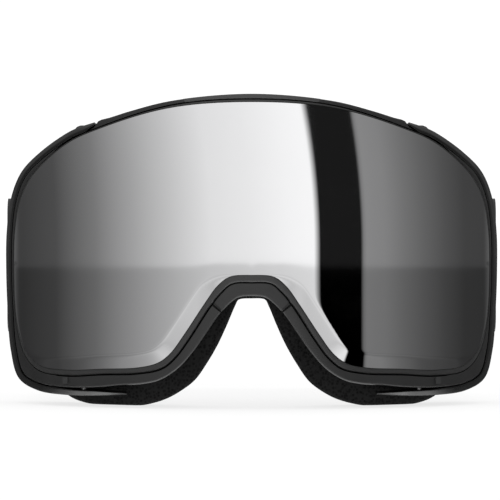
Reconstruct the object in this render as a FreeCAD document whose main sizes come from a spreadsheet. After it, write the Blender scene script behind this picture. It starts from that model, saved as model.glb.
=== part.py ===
"""Ski goggles: mirrored cylindrical lens on a magnetic carrier, soft frame with
three-layer face foam, hinged outriggers, elastic strap with sliders.

Millimetres. +X is the wearer's left seen from the front, the lens faces -Y, +Z is up.
The origin is on the ground under the middle of the whole object.
"""
import FreeCAD, Part
import math
import os

import Sketcher
from FreeCAD import Placement, Rotation, Vector

os.makedirs("parts", exist_ok=True)
doc = FreeCAD.newDocument("SkiGoggles")

# ---------------------------------------------------------------- driving dimensions
SIZES = {
    "depth": 200.0,              # lens apex to the back of the strap loop
    "working_length": 260.0,     # length of every cutting prism
    "working_height": 140.0,
    "lens_radius": 98.0,         # outer surface of the lens, a vertical cylinder
    "lens_thick": 1.6,
    "inner_lens_thick": 0.8,
    "lens_gap": 3.6,             # air between the two lenses
    "glue_gap": 0.1,
    "carrier_proud": 0.4,        # how far the carrier's rim lies behind the lens face
    "carrier_depth": 6.1,
    "seat_gap": 0.3,             # carrier to frame
    "lip_back": 0.8,             # frame lip and outriggers behind the lens face
    "face_radius": 90.0,         # plan curve of the frame's rear flange
    "face_apex": 20.0,           # lens apex to that flange's rear face
    "flange_thick": 2.4,
    "foam_base_apex": 25.5,
    "foam_base_radius": 91.0,
    "foam_mid_apex": 33.0,
    "foam_mid_radius": 92.0,
    "foam_rear_apex": 36.0,
    "foam_rear_radius": 92.6,
    "arm_thick": 2.3,
    "arm_gap": 0.4,              # outrigger to frame
    "arm_swing": 6.0,            # degrees the outriggers open
    "swing_gap": 0.2,            # outrigger to frame while it opens
    "pivot_x": 60.0,
    "pivot_y": -66.0,
    "pivot_r": 1.2,
    "pivot_clear": 0.05,
    "pivot_top": 100.0,
    "pivot_top_foot": 93.4,
    "pivot_low": 4.4,
    "pivot_low_head": 10.2,
    "boss_r": 3.4,
    "boss_tall": 3.0,
    "anchor_x": 87.7,            # inner face of the strap anchor plate
    "anchor_thick": 2.0,
    "anchor_y": -34.0,
    "anchor_long": 32.0,
    "anchor_tall": 49.0,
    "anchor_round": 6.0,
    "slot_back": 4.5,            # bar behind the slot
    "slot_long": 7.5,
    "strap_width": 42.0,
    "strap_thick": 2.2,
    "strap_low": 29.0,           # lower edge of the strap at the anchors
    "strap_rise": 8.5,           # how much higher the strap sits at the back
    "strap_corner": 62.0,
    "strap_join": 34.0,
    "strap_cut": 0.4,
    "slider_y": 6.0,
    "slider_long": 14.0,
    "slider_wall": 1.2,
    "slider_end": 2.4,
    "slider_clear": 0.5,
    "slider_bar": 4.0,
    "grip_long": 46.0,
    "grip_tall": 1.6,
    "grip_thick": 0.6,
    "grip_pitch": 8.0,
    "grip_first": 42.0,
    "magnet_r": 1.2,
    "magnet_thick": 1.4,
    "keeper_r": 1.4,
    "keeper_thick": 1.2,
    "catch_half": 24.0,
    "bridge_half": 13.0,
    "bridge_depth": 4.7,
    "insert_gap": 0.2,
    "vent_long": 15.0,
    "vent_pitch": 20.0,
    "vent_depth": 6.0,
    "vent_behind": 9.5,          # front edge of the brow vents, behind the lens face
    "vent_low": 85.0,
    "vent_tall": 40.0,
    "vent_foam_thick": 2.5,
    "latch_x": 66.0,
    "latch_half": 2.2,
    "latch_deep": 6.0,
    "latch_low": 7.9,
    "latch_tall": 1.9,
    "latch_tab": 1.2,
    "latch_travel": 2.0,
}

sheet = doc.addObject("Spreadsheet::Sheet", "Sizes")
for row, (alias, number) in enumerate(SIZES.items(), start=1):
    sheet.set("A%d" % row, alias)
    sheet.set("B%d" % row, str(number))
    sheet.setAlias("B%d" % row, alias)
doc.recompute()


def size(alias):
    return float(sheet.get(alias))


# Front outlines, right half, from the top centre to the nose: (x, z) above the ground.
LENS = [
    (0, 107.0), (20.9, 106.1), (35, 103.8), (52.9, 98.5), (63.9, 94.2), (72.6, 88.2),
    (79.6, 81.2), (83.7, 73.5), (85.7, 63), (86.2, 50), (85.8, 37), (84.5, 27.5),
    (81.3, 19), (75.8, 14.1), (66, 12.9), (52.9, 13.6), (40, 14.3), (33, 16),
    (29, 19.3), (24.4, 25.8), (17.6, 37), (13.2, 43), (8, 46.2), (0, 46.8),
]
CARRIER = [
    (0, 108.0), (21, 107.0), (35.2, 104.4), (53.1, 98.9), (64.1, 94.6), (72.9, 88.5),
    (79.9, 81.5), (84.1, 73.7), (86.1, 63), (86.6, 50), (86.2, 37), (85, 27),
    (82, 17.8), (76.4, 12.2), (66, 10.8), (52.8, 11.6), (39.8, 12.2), (31.5, 14),
    (27, 17.9), (22.3, 24.5), (15.4, 35.6), (11.4, 40.8), (7, 43.7), (0, 44.2),
]
OUTRIGGER = [
    (57.5, 100.3), (65, 97.7), (76, 90.8), (83.6, 83.8), (87.9, 74.5), (89.8, 62),
    (90, 48), (89.4, 34), (88, 18.9), (84.5, 9.2), (76.9, 5.2), (66, 3.9),
    (55, 3.9), (44, 4.6),
]
FRAME_TOP = [(0, 109.9), (28, 107.7), (42, 104.5), (50, 102.3), (54, 100.3), (57.3, 97.4)]
FRAME_NOSE = [
    (52, 6.9), (44, 6.9), (38, 6.6), (32, 8.2), (25.5, 12.4), (20, 18.6), (15, 26.2),
    (10.8, 33), (6, 37.9), (0, 39.2),
]
FACE_OPENING = [
    (0, 86), (26, 84), (47, 77), (59, 66), (62.5, 52), (60.5, 38.5), (52.5, 28),
    (40, 24), (31, 27.5), (24.5, 35.5), (17.8, 45), (10.8, 52), (0, 54.8),
]
FOAM = [
    (0, 105), (28, 103.5), (50, 98), (62, 92.5), (72, 84.5), (78.5, 74), (81, 60),
    (81, 45), (79.5, 30), (76, 17), (71, 8), (66.5, 3), (60, 0.5), (52, -0.3),
    (44, -0.3), (37.5, 0.7), (30.5, 2.8), (25, 5.8), (20.5, 9.4), (16.5, 15.2),
    (12.6, 21.5), (9.4, 29), (5.5, 36.2), (0, 38.4),
]
FOAM_OPENING = [
    (0, 83), (25, 81), (45, 74.5), (56, 64), (59, 52), (57, 40), (50, 31), (40, 27.5),
    (33, 30), (27, 37), (20, 47), (12, 54.5), (0, 57.5),
]


def beyond(end, inner):
    """The neighbour past an end: a mirror image where the outline meets the middle plane."""
    return (-inner[0], inner[1]) if end[0] == 0 else end


def grow(points, distances):
    """Shift each point of a clockwise half outline outwards, square to the outline."""
    if not isinstance(distances, (list, tuple)):
        distances = [distances] * len(points)
    before = [beyond(points[0], points[1])] + points[:-1]
    after = points[1:] + [beyond(points[-1], points[-2])]
    moved = []
    for i, (x, z) in enumerate(points):
        along = Vector(after[i][0] - before[i][0], 0, after[i][1] - before[i][1]).normalize()
        moved.append((x - along.z * distances[i], z + along.x * distances[i]))
    return moved


def frame_outline():
    """The frame fills the goggle's own outline at brow and nose, and lies inside the arms."""
    inset = -(size("arm_thick") + size("arm_gap"))
    return FRAME_TOP + grow(OUTRIGGER, inset)[1:-2] + FRAME_NOSE


# ---------------------------------------------------------------- building blocks
FRONT = Placement(Vector(0, 0, 0), Rotation(Vector(1, 0, 0), 90))
SIDE = Placement(Vector(0, 0, 0), Rotation(Vector(1, 1, 1), 120))
PLAN = Placement()


def line(start, end):
    return Part.LineSegment(Vector(start[0], start[1], 0), Vector(end[0], end[1], 0))


def arc(start, middle, end):
    return Part.Arc(*[Vector(p[0], p[1], 0) for p in (start, middle, end)])


def polygon(points):
    return [line(points[i - 1], points[i]) for i in range(len(points))]


def arc_chain(points):
    """Arcs through each three points in a row; an odd one at the end takes a line."""
    chain = [arc(*points[i:i + 3]) for i in range(0, len(points) - 2, 2)]
    if len(points) % 2 == 0:
        chain.append(line(points[-2], points[-1]))
    return chain


def free_sketch(name, placement, curves):
    sketch = doc.addObject("Sketcher::SketchObject", name + "_sketch")
    sketch.Placement = placement
    for curve in curves:
        sketch.addGeometry(curve, False)
    return sketch


def prism(name, placement, curves, direction, length="Sizes.working_length"):
    """A sketch pushed out both ways along a row axis."""
    solid = doc.addObject("Part::Extrusion", name)
    solid.Base = free_sketch(name, placement, curves)
    solid.DirMode = "Custom"
    solid.Dir = direction
    solid.setExpression("LengthFwd", length)
    solid.Solid = True
    solid.Symmetric = True
    return solid


def outline_prism(name, half):
    """A half outline and its mirror image, as one prism along Y."""
    mirrored = [(-x, z) for x, z in half]
    return prism(name, FRONT, arc_chain(half) + arc_chain(mirrored), Vector(0, 1, 0))


def drum(name, radius, centre):
    """A vertical cylinder on the middle plane: radius and centre are sheet expressions."""
    solid = doc.addObject("Part::Cylinder", name)
    solid.setExpression("Radius", radius)
    solid.setExpression("Height", "Sizes.working_height")
    solid.setExpression("Placement.Base.y", centre)
    solid.Placement.Base.z = -10
    return solid


def block(name, low, high):
    solid = doc.addObject("Part::Box", name)
    solid.Length, solid.Width, solid.Height = [b - a for a, b in zip(low, high)]
    solid.Placement = Placement(Vector(*low), Rotation())
    return solid


def common(name, *shapes):
    solid = doc.addObject("Part::MultiCommon", name)
    solid.Shapes = list(shapes)
    return solid


def fuse(name, *shapes):
    solid = doc.addObject("Part::MultiFuse", name)
    solid.Shapes = list(shapes)
    return solid


def cut(name, base, *tools):
    solid = base
    for number, tool in enumerate(tools):
        step = doc.addObject("Part::Cut", name if number == len(tools) - 1 else name + "_step")
        step.Base = solid
        step.Tool = tool
        solid = step
    return solid


SUB_PARTS = []


def sub_part(label, solid):
    solid.Label = label
    SUB_PARTS.append(solid)
    return solid


# Plan curves. Lens-side surfaces share one axis; the face side has flatter ones.
LENS_AXIS = "-Sizes.depth / 2 + Sizes.lens_radius"


def lens_drum(name, behind):
    return drum(name, "Sizes.lens_radius - (%s)" % behind, LENS_AXIS)


def face_drum(name, radius, apex, shrink="0"):
    centre = "-Sizes.depth / 2 + Sizes.%s + Sizes.%s" % (apex, radius)
    return drum(name, "Sizes.%s - (%s)" % (radius, shrink), centre)


front_space = block("front_space", (-110, -110, -5), (110, 0, 125))
above_ground = block("above_ground", (-110, -110, 0), (110, 0, 125))
lip_drum = lens_drum("lip_drum", "Sizes.lip_back")
carrier_back = "Sizes.carrier_proud + Sizes.carrier_depth"
seat_back = carrier_back + " + Sizes.seat_gap"
seat_drum = lens_drum("seat_drum", seat_back)
flange_rear = face_drum("flange_rear", "face_radius", "face_apex")
flange_front = face_drum("flange_front", "face_radius", "face_apex", "-Sizes.flange_thick")


def on_lens(x, behind):
    """Point and heading on the lens-side surface that lies `behind` the lens face."""
    radius = size("lens_radius") - behind
    angle = math.asin(x / radius)
    y = -size("depth") / 2 + size("lens_radius") - radius * math.cos(angle)
    return Vector(x, y, 0), math.degrees(angle)


# ---------------------------------------------------------------- lens unit
def lens_unit():
    lens = outline_prism("lens_blank", LENS)
    outer = common("outer_lens_front", lens, lens_drum("lens_face", "0"), front_space)
    outer_back = lens_drum("lens_back", "Sizes.lens_thick")
    sub_part("outer_lens", cut("outer_lens_cut", outer, outer_back))

    inner_outline = outline_prism("inner_blank", grow(LENS, -3.2))
    gasket_hole = outline_prism("gasket_hole", grow(LENS, -7.2))
    gap_front = "Sizes.lens_thick + Sizes.glue_gap"
    gap_back = "Sizes.lens_thick + Sizes.lens_gap - Sizes.glue_gap"
    gasket = common("gasket_front", inner_outline, lens_drum("gasket_face", gap_front), front_space)
    gasket_back = lens_drum("gasket_back", gap_back)
    sub_part("lens_gasket", cut("lens_gasket_cut", gasket, gasket_hole, gasket_back))

    inner_back = "Sizes.lens_thick + Sizes.lens_gap + Sizes.inner_lens_thick"
    inner_front = "Sizes.lens_thick + Sizes.lens_gap"
    inner = common("inner_front", inner_outline, lens_drum("inner_face", inner_front), front_space)
    sub_part("inner_lens", cut("inner_lens_cut", inner, lens_drum("inner_back", inner_back)))

    rim = outline_prism("carrier_blank", CARRIER)
    rim = common("carrier_front", rim, lens_drum("carrier_face", "Sizes.carrier_proud"), front_space)
    recess = cut("lens_recess", outline_prism("recess_blank", grow(LENS, 0.1)),
                 lens_drum("recess_floor", gap_front))
    hole = outline_prism("carrier_hole", grow(LENS, -3.0))
    tools = [recess, hole, lens_drum("carrier_rear", carrier_back)]
    magnet_back = size("carrier_proud") + size("carrier_depth") - 0.1
    pockets = fuse("magnet_pockets",
                   *discs("magnet_pocket", "magnet_r", "magnet_thick", magnet_back, 0.1, 0.3))
    sub_part("lens_carrier", cut("lens_carrier_cut", rim, *tools, pockets))
    magnets = discs("magnet", "magnet_r", "magnet_thick", magnet_back)
    sub_part("lens_magnets", fuse("lens_magnets_group", *magnets))


# Magnets and keepers sit round the rim: (x, z) of each, both sides of the middle.
MAGNET_SPOTS = [(30, 103.5), (84.2, 46), (57, 13.8)]


def discs(name, radius, thick, back, round_gap=0, rear_gap=0):
    """Short cylinders square to the lens surface; `back` is their rear face's depth."""
    made = []
    for x, z in MAGNET_SPOTS:
        for side in (1, -1):
            spot, heading = on_lens(side * x, back)
            turn = Rotation(Vector(0, 0, 1), heading)
            disc = doc.addObject("Part::Cylinder", name)
            disc.setExpression("Radius", "Sizes.%s + %g" % (radius, round_gap))
            disc.setExpression("Height", "Sizes.%s + %g" % (thick, rear_gap))
            disc.Placement = Placement(spot + turn.multVec(Vector(0, rear_gap, z)),
                                       turn * Rotation(Vector(1, 0, 0), 90))
            made.append(disc)
    return made


# ---------------------------------------------------------------- frame
def frame_unit():
    seat_outline = grow(CARRIER, 0.4)
    wall_inside = grow(LENS, -4.5)
    blank = common("frame_front", outline_prism("frame_blank", frame_outline()), lip_drum, front_space)
    seat = cut("seat_space", outline_prism("seat_blank", seat_outline), seat_drum)
    cavity = cut("cavity_space", outline_prism("cavity_blank", wall_inside), flange_front)
    face_hole = outline_prism("face_hole", FACE_OPENING)

    half = size("catch_half")
    gap = size("insert_gap")
    catch_space = cut("catch_space", block("catch_box", (-half - gap, -110, 90), (half + gap, 0, 120)),
                      seat_drum)
    wide = size("bridge_half")
    bridge_floor = lens_drum("bridge_floor", "Sizes.lip_back + Sizes.bridge_depth")
    bridge_space = cut("bridge_space", block("bridge_box", (-wide - gap, -110, 30), (wide + gap, 0, 60)),
                       bridge_floor)
    keeper_back = size("carrier_proud") + size("carrier_depth") + size("seat_gap") + size("keeper_thick")
    keeper_pockets = fuse("keeper_pockets",
                          *discs("keeper_pocket", "keeper_r", "keeper_thick", keeper_back, 0.1, 0.1))
    tools = [flange_rear, seat, cavity, face_hole, catch_space, bridge_space, keeper_pockets]
    tools += vents() + pivot_holes("frame_pivot_hole", 0) + latch_pockets()
    sub_part("main_frame", cut("main_frame_cut", blank, *tools))
    keepers = discs("keeper", "keeper_r", "keeper_thick", keeper_back)
    sub_part("frame_keepers", fuse("frame_keepers_group", *keepers))

    lip = cut("lip_ring", outline_prism("lip_blank", frame_outline()),
              outline_prism("lip_hole", seat_outline))
    catch = common("top_catch_blank", lip, lip_drum, block("catch_cut", (-half, -110, 90), (half, 0, 120)))
    sub_part("top_catch", cut("top_catch_cut", catch, seat_drum))
    bridge = common("bridge_blank", lip, lip_drum, block("bridge_cut", (-wide, -110, 30), (wide, 0, 60)))
    sub_part("nose_bridge", cut("nose_bridge_cut", bridge, bridge_floor))
    vent_foam(wall_inside)


def vents():
    """A row of slots through the brow wall."""
    made = []
    for number in (-2, -1, 0, 1, 2):
        spot, heading = on_lens(number * size("vent_pitch"), size("vent_behind"))
        slot = doc.addObject("Part::Box", "brow_vent")
        slot.setExpression("Length", "Sizes.vent_long")
        slot.setExpression("Width", "Sizes.vent_depth")
        slot.setExpression("Height", "Sizes.vent_tall")
        turn = Rotation(Vector(0, 0, 1), heading)
        corner = turn.multVec(Vector(-size("vent_long") / 2, 0, size("vent_low")))
        slot.Placement = Placement(spot + corner, turn)
        made.append(slot)
    return made


def vent_foam(wall_inside):
    thick = size("vent_foam_thick")
    ring = cut("vent_ring", outline_prism("vent_blank", grow(wall_inside, -0.1)),
               outline_prism("vent_hole", grow(wall_inside, -0.1 - thick)))
    front = lens_drum("vent_front", seat_back + " + 1.2")
    back = face_drum("vent_back", "face_radius", "face_apex", "-Sizes.flange_thick - 0.3")
    ring = cut("vent_band", common("vent_band_front", ring, front, front_space), back)
    brow = block("brow_box", (-50, -110, 85), (50, 0, 120))
    sub_part("vent_foam_top", common("vent_foam_top_cut", ring, brow))
    chins = fuse("chin_boxes", block("chin_box_right", (38, -110, 5), (66, 0, 30)),
                 block("chin_box_left", (-66, -110, 5), (-38, 0, 30)))
    sub_part("vent_foam_bottom", common("vent_foam_bottom_cut", ring, chins))


# ---------------------------------------------------------------- face foam
def face_foam():
    ring = cut("foam_ring", outline_prism("foam_blank", FOAM),
               outline_prism("foam_hole", FOAM_OPENING))
    curves = [("face", "face_radius", "face_apex"),
              ("base", "foam_base_radius", "foam_base_apex"),
              ("mid", "foam_mid_radius", "foam_mid_apex"),
              ("fleece", "foam_rear_radius", "foam_rear_apex")]
    for (_, radius, apex), (layer, next_radius, next_apex) in zip(curves, curves[1:]):
        front = face_drum("foam_%s_front" % layer, radius, apex, "Sizes.glue_gap")
        back = face_drum("foam_%s_back" % layer, next_radius, next_apex)
        body = common("foam_%s_blank" % layer, ring, front, above_ground)
        sub_part("face_foam_%s" % layer, cut("foam_%s_cut" % layer, body, back))


# ---------------------------------------------------------------- outriggers
def arm_outline(side):
    thin_end = [size("arm_thick")] * (len(OUTRIGGER) - 2) + [1.9, 0.3]
    inner = grow(OUTRIGGER, [-t for t in thin_end])
    outer = [(side * x, z) for x, z in OUTRIGGER]
    inner = [(side * x, z) for x, z in inner]
    caps = [line(outer[0], inner[0]), line(outer[-1], inner[-1])]
    return arc_chain(outer) + arc_chain(inner) + caps


# Side profile of an arm: a C that is widest where the strap pulls. (y, z)
ARM_PROFILE = [
    (-110, 110), (-62, 110), (-60, 97), (-48, 87), (-34, 78), (-34, 23),
    (-37, 13), (-43, 7), (-50, -4), (-110, -4),
]


def pivot_holes(name, extra):
    """Vertical holes for the hinge pins, upper and lower, on both sides."""
    made = []
    for side in (1, -1):
        for low, high in (("pivot_top_foot", "pivot_top"), ("pivot_low", "pivot_low_head")):
            hole = doc.addObject("Part::Cylinder", name)
            hole.setExpression("Radius", "Sizes.pivot_r + Sizes.pivot_clear * %g" % extra)
            hole.setExpression("Height", "Sizes.%s - Sizes.%s" % (high, low))
            hole.setExpression("Placement.Base.x", "%d * Sizes.pivot_x" % side)
            hole.setExpression("Placement.Base.y", "Sizes.pivot_y")
            hole.setExpression("Placement.Base.z", "Sizes.%s" % low)
            made.append(hole)
    return made


def swing_about_pivot(side, share):
    """Where the frame stands, seen from an outrigger that is open by a share of its swing."""
    pivot = Vector(side * size("pivot_x"), size("pivot_y"), 0)
    turn = Rotation(Vector(0, 0, 1), side * size("arm_swing") * share)
    return Placement(Vector(0, 0, 0), turn, pivot)


def foam_room(side, word):
    """What the face foam takes from the arm's underside, with the arm closed and fully open."""
    rooms = []
    centre = Vector(0, size("face_apex") + size("face_radius") - size("depth") / 2, 0)
    for share in (0, 1):
        moved = swing_about_pivot(side, share).multVec(centre)
        room = drum("foam_room_%s" % word, "Sizes.face_radius + Sizes.arm_gap", "%g" % moved.y)
        room.Placement.Base.x = moved.x
        rooms.append(room)
    return rooms


def frame_room(side, word):
    """What the frame takes from the arm's front end as the arm opens."""
    rooms = []
    for share in (0, 0.5, 1):
        outline = outline_prism("frame_room_blank_%s" % word, grow(frame_outline(), size("swing_gap")))
        room = common("frame_room_%s" % word, outline, lip_drum, front_space)
        room.Placement = swing_about_pivot(side, share)
        rooms.append(room)
    return rooms


def outriggers():
    """The right-hand outrigger, and the same turned over for the left."""
    side, word = 1, "right"
    blade = prism("arm_%s_blank" % word, FRONT, arm_outline(side), Vector(0, 1, 0))
    profile = prism("arm_%s_profile" % word, SIDE, polygon(ARM_PROFILE), Vector(1, 0, 0))
    blade = common("arm_%s_blade" % word, blade, profile, lip_drum, front_space)
    blade = cut("arm_%s_trim" % word, blade, *foam_room(side, word))
    boss = doc.addObject("Part::Cylinder", "arm_%s_boss" % word)
    boss.setExpression("Radius", "Sizes.boss_r")
    boss.setExpression("Height", "Sizes.boss_tall")
    boss.setExpression("Placement.Base.x", "%d * Sizes.pivot_x" % side)
    boss.setExpression("Placement.Base.y", "Sizes.pivot_y")
    boss.setExpression("Placement.Base.z", "Sizes.pivot_top - Sizes.boss_tall + 0.4")
    arm = fuse("arm_%s_fused" % word, blade, boss)
    rooms = frame_room(side, word) + pivot_holes("arm_%s_hole" % word, 1)
    right = sub_part("outrigger_right", cut("arm_right", arm, *rooms))
    left = doc.addObject("Part::Mirroring", "arm_left")
    left.Source = right
    left.Normal = Vector(1, 0, 0)
    sub_part("outrigger_left", left)


def hinge_pins():
    sub_part("hinge_pins", fuse("hinge_pins_group", *pivot_holes("hinge_pin", 0)))


# ---------------------------------------------------------------- PartDesign helpers
def new_body(label):
    body = doc.addObject("PartDesign::Body", label)
    return sub_part(label, body)


def body_sketch(body, role, offset="0"):
    plane = [f for f in body.Origin.OriginFeatures if f.Role == role][0]
    sketch = body.newObject("Sketcher::SketchObject", body.Label + "_sketch")
    sketch.AttachmentSupport = [(plane, "")]
    sketch.MapMode = "FlatFace"
    sketch.setExpression("AttachmentOffset.Base.z", offset)
    return sketch


def bound_rectangle(sketch, left, low, right, high):
    """A rectangle whose four edges are sheet expressions measured from the origin."""
    first = sketch.GeometryCount
    corners = [(0, 0), (1, 0), (1, 1), (0, 1)]
    for i in range(4):
        sketch.addGeometry(line(corners[i], corners[(i + 1) % 4]), False)
    for i in range(4):
        sketch.addConstraint(Sketcher.Constraint("Coincident", first + i, 2, first + (i + 1) % 4, 1))
        kind = "Horizontal" if i % 2 == 0 else "Vertical"
        sketch.addConstraint(Sketcher.Constraint(kind, first + i))
    places = [("DistanceX", 0, left, 0.0), ("DistanceY", 0, low, 0.0),
              ("DistanceX", 2, right, 1.0), ("DistanceY", 2, high, 1.0)]
    for kind, corner, expression, start in places:
        number = sketch.addConstraint(Sketcher.Constraint(kind, -1, 1, first + corner, 1, start))
        sketch.setExpression("Constraints[%d]" % number, expression)


def pad(body, sketch, length, reverse=False):
    feature = body.newObject("PartDesign::Pad", body.Label + "_pad")
    feature.Profile = sketch
    feature.setExpression("Length", length)
    feature.Reversed = reverse
    sketch.Visibility = False
    return feature


def pocket(body, sketch, length, reverse=False):
    feature = body.newObject("PartDesign::Pocket", body.Label + "_pocket")
    feature.Profile = sketch
    feature.setExpression("Length", length)
    feature.Reversed = reverse
    return feature


def edges_along(shape, direction):
    """Names of the straight edges of a shape that run along a direction."""
    names = []
    for number, edge in enumerate(shape.Edges, start=1):
        if isinstance(edge.Curve, Part.Line) and abs(abs(edge.Curve.Direction.dot(direction)) - 1) < 1e-6:
            names.append("Edge%d" % number)
    return names


def fillet(body, base, direction, radius):
    doc.recompute()
    feature = body.newObject("PartDesign::Fillet", body.Label + "_fillet")
    feature.Base = (base, edges_along(base.Shape, direction))
    feature.setExpression("Radius", radius)
    return feature


# ---------------------------------------------------------------- strap anchors and sliders
def plate_start(side, inner, thick):
    """Where a plate beside the head starts along X, for either side."""
    return inner if side > 0 else "-(%s) - (%s)" % (inner, thick)


STRAP_MIDDLE = "(Sizes.strap_low + Sizes.strap_width / 2)"
ANCHOR_REAR = "(Sizes.anchor_y + Sizes.anchor_long)"


def strap_anchor(side, word):
    """Flat loop at the back of an outrigger; the strap folds round its rear bar."""
    body = new_body("strap_anchor_%s" % word)
    start = plate_start(side, "Sizes.anchor_x", "Sizes.anchor_thick")
    plate = body_sketch(body, "YZ_Plane", start)
    low = STRAP_MIDDLE + " - Sizes.anchor_tall / 2"
    high = STRAP_MIDDLE + " + Sizes.anchor_tall / 2"
    bound_rectangle(plate, "Sizes.anchor_y", low, ANCHOR_REAR, high)
    base = pad(body, plate, "Sizes.anchor_thick")
    base = fillet(body, base, Vector(1, 0, 0), "Sizes.anchor_round")
    slot = body_sketch(body, "YZ_Plane", start)
    rear = ANCHOR_REAR + " - Sizes.slot_back"
    bound_rectangle(slot, rear + " - Sizes.slot_long", "Sizes.strap_low - 0.6", rear,
                    "Sizes.strap_low + Sizes.strap_width + 0.6")
    pocket(body, slot, "Sizes.anchor_thick", True)


def slider(side, word):
    """Tri-glide: a flat sleeve round the strap with two windows and a middle bar."""
    body = new_body("slider_%s" % word)
    shell_in = "Sizes.slider_clear + Sizes.slider_wall"
    inner = "Sizes.anchor_x + 0.1 - (%s)" % shell_in
    thick = "Sizes.strap_thick + 2 * (%s)" % shell_in
    start = plate_start(side, inner, thick)
    low = "Sizes.strap_low - Sizes.slider_clear"
    high = "Sizes.strap_low + Sizes.strap_width + Sizes.slider_clear"
    outside = body_sketch(body, "YZ_Plane", start)
    bound_rectangle(outside, "Sizes.slider_y", low + " - Sizes.slider_end",
                    "Sizes.slider_y + Sizes.slider_long", high + " + Sizes.slider_end")
    base = pad(body, outside, thick)
    fillet(body, base, Vector(1, 0, 0), "Sizes.slider_end")
    tunnel = body_sketch(body, "XZ_Plane", "-Sizes.slider_y - Sizes.slider_long")
    left = plate_start(side, "Sizes.anchor_x + 0.1 - Sizes.slider_clear",
                       "Sizes.strap_thick + 2 * Sizes.slider_clear")
    bound_rectangle(tunnel, left, low, left + " + Sizes.strap_thick + 2 * Sizes.slider_clear", high)
    pocket(body, tunnel, "Sizes.slider_long", True)
    window = body_sketch(body, "YZ_Plane", start)
    middle = "Sizes.slider_y + Sizes.slider_long / 2"
    edge = "1.8"
    bound_rectangle(window, "Sizes.slider_y + " + edge, "Sizes.strap_low + 1",
                    middle + " - Sizes.slider_bar / 2", "Sizes.strap_low + Sizes.strap_width - 1")
    bound_rectangle(window, middle + " + Sizes.slider_bar / 2", "Sizes.strap_low + 1",
                    "Sizes.slider_y + Sizes.slider_long - " + edge,
                    "Sizes.strap_low + Sizes.strap_width - 1")
    pocket(body, window, thick, True)


# ---------------------------------------------------------------- strap
def strap_end(side, word):
    """Webbing from the anchor's rear bar, folded round it, back to the slider's travel."""
    thick = size("strap_thick")
    centre_x = size("anchor_x") + 0.1 + thick / 2
    bar_front = size("anchor_y") + size("anchor_long") - size("slot_back") - 0.4
    bar_rear = size("anchor_y") + size("anchor_long") + 0.4
    half_bar = size("anchor_thick") / 2 + 0.4
    bar_x = size("anchor_x") + size("anchor_thick") / 2
    wrap = 1.5
    join = size("strap_join")
    meet = bar_rear + 5

    def at(x, y):
        return (side * x, y)

    outer_in = bar_x - half_bar - wrap
    outer_out = bar_x + half_bar + wrap
    near = centre_x - thick / 2
    far = centre_x + thick / 2
    nose_y = bar_front - half_bar - wrap + 0.8
    outside = [
        line(at(near, join), at(near, meet + 3)),
        line(at(near, meet + 3), at(outer_in, bar_rear)),
        line(at(outer_in, bar_rear), at(outer_in, bar_front)),
        arc(at(outer_in, bar_front), at(bar_x, nose_y), at(outer_out, bar_front)),
        line(at(outer_out, bar_front), at(outer_out, bar_rear)),
        line(at(outer_out, bar_rear), at(far, meet + 3)),
        line(at(far, meet + 3), at(far, join)),
        line(at(far, join), at(near, join)),
    ]
    hole = [
        line(at(bar_x - half_bar, bar_rear), at(bar_x - half_bar, bar_front)),
        arc(at(bar_x - half_bar, bar_front), at(bar_x, nose_y + wrap), at(bar_x + half_bar, bar_front)),
        line(at(bar_x + half_bar, bar_front), at(bar_x + half_bar, bar_rear)),
        line(at(bar_x + half_bar, bar_rear), at(bar_x, meet)),
        line(at(bar_x, meet), at(bar_x - half_bar, bar_rear)),
    ]
    body = new_body("strap_end_%s" % word)
    plan = body_sketch(body, "XY_Plane", "Sizes.strap_low")
    for curve in outside + hole:
        plan.addGeometry(curve, False)
    pad(body, plan, "Sizes.strap_width")


def strap_rear():
    """The loop behind the head: a U in plan, rising towards the back."""
    start = size("strap_join") + size("strap_cut")
    far = size("anchor_x") + 0.1 + size("strap_thick")
    rear = size("depth") / 2
    corner = size("strap_corner")
    centre = (far - corner, rear - corner)

    def band_edge(inset):
        x = far - inset
        radius = corner - inset
        slant = radius * math.sqrt(0.5)
        return [
            line((x, start), (x, centre[1])),
            arc((x, centre[1]), (centre[0] + slant, centre[1] + slant), (centre[0], rear - inset)),
            line((centre[0], rear - inset), (-centre[0], rear - inset)),
            arc((-centre[0], rear - inset), (-centre[0] - slant, centre[1] + slant), (-x, centre[1])),
            line((-x, centre[1]), (-x, start)),
        ]

    thick = size("strap_thick")
    curves = band_edge(0) + band_edge(thick)
    for side in (1, -1):
        curves.append(line((side * far, start), (side * (far - thick), start)))
    band = prism("strap_plan", PLAN, curves, Vector(0, 0, 1))
    low = size("strap_low")
    wide = size("strap_width")
    rise = size("strap_rise")
    join = size("strap_join")
    profile = [(join, low), (join + 4, low), (rear, low + rise), (rear + 1, low + rise),
               (rear + 1, low + rise + wide), (rear, low + rise + wide), (join + 4, low + wide),
               (join, low + wide)]
    side_view = prism("strap_profile", SIDE, polygon(profile), Vector(1, 0, 0))
    sub_part("strap_rear", common("strap_rear_cut", band, side_view))


def strap_grip():
    """Silicone beads across the inside of the strap, behind the head."""
    body = new_body("strap_grip")
    bead = body_sketch(body, "XZ_Plane", "-Sizes.depth / 2 + Sizes.strap_thick")
    bound_rectangle(bead, "-Sizes.grip_long / 2", "Sizes.grip_first",
                    "Sizes.grip_long / 2", "Sizes.grip_first + Sizes.grip_tall")
    first = pad(body, bead, "Sizes.grip_thick")
    doc.recompute()
    row_of = body.newObject("PartDesign::LinearPattern", "grip_row")
    row_of.Originals = [first]
    row_of.Direction = (bead, ["V_Axis"])
    row_of.Occurrences = 5
    row_of.setExpression("Length", "Sizes.grip_pitch * 4")
    body.Tip = row_of


# ---------------------------------------------------------------- release latches
def latch_placement(side):
    spot, heading = on_lens(side * size("latch_x"), size("lip_back"))
    return Placement(spot, Rotation(Vector(0, 0, 1), heading))


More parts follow.
